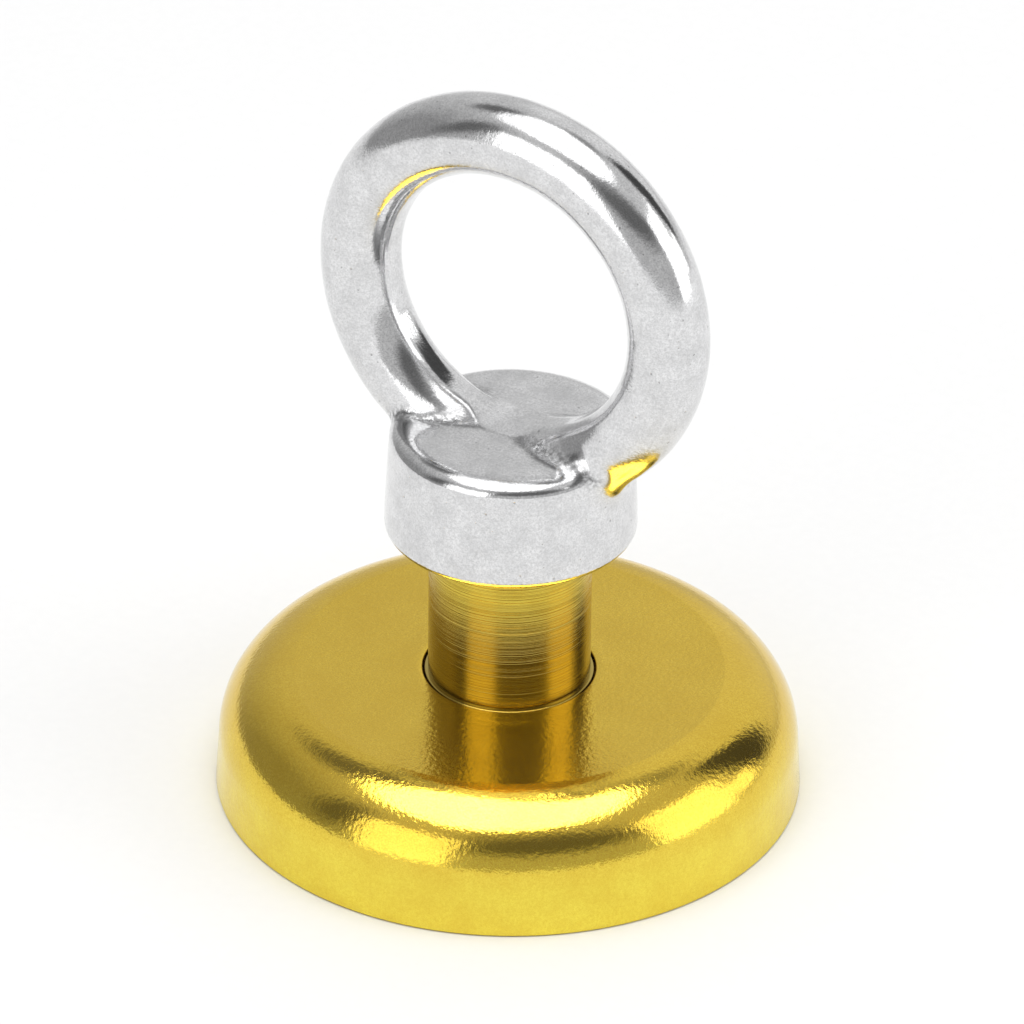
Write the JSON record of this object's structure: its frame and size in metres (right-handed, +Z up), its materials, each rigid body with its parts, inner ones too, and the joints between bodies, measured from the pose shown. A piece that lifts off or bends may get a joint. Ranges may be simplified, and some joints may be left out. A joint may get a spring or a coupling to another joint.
{
  "type": "pot magnet with eye bolt",
  "caption": "Small pot magnet for magnet fishing: a gold-plated steel cup with a threaded neck and a screwed-in stainless ring bolt for a line.",
  "frame": {"origin": "on the axis of the neck, at the level of the cup's rim", "axes": "+Z up the neck to the ring, +Y along the ring's hole, +X across the ring"},
  "size_m": [0.036, 0.036, 0.0472],
  "materials": {
    "gold_plated_cup": "bright gold-coloured plating on turned steel, slightly rippled",
    "gold_plated_bush": "bright gold-coloured plating over fine lathe rings",
    "cast_stainless": "polished casting with a fine satin grain and small pits",
    "nickel_plated_magnet": "bright nickel plating",
    "clear_glue": "cured glue film",
    "dark_resin": "cured resin, smooth and slightly dull"
  },
  "bodies": {
    "pot": {"pot_cup": "gold_plated_cup", "neck_bush": "gold_plated_bush", "magnet_disc": "nickel_plated_magnet", "resin_ring": "dark_resin"},
    "thread_carrier": {"glue_film": "clear_glue"},
    "eye": {"eye_bolt": "cast_stainless"}
  },
  "joints": [
    {"name": "eye_bolt_turn", "type": "hinge", "parent": "pot", "child": "thread_carrier", "pos_m": [0, 0, 0.018], "axis": [0, 0, 1], "range_deg": [0, 3870]},
    {"name": "eye_bolt_lift", "type": "slide", "parent": "thread_carrier", "child": "eye", "axis": [0, 0, 1], "range_m": [0, 0.01075]}
  ],
  "couplings": [
    {"joint": "eye_bolt_lift", "follows": "eye_bolt_turn", "m_per_rad": 0.00015915}
  ]
}
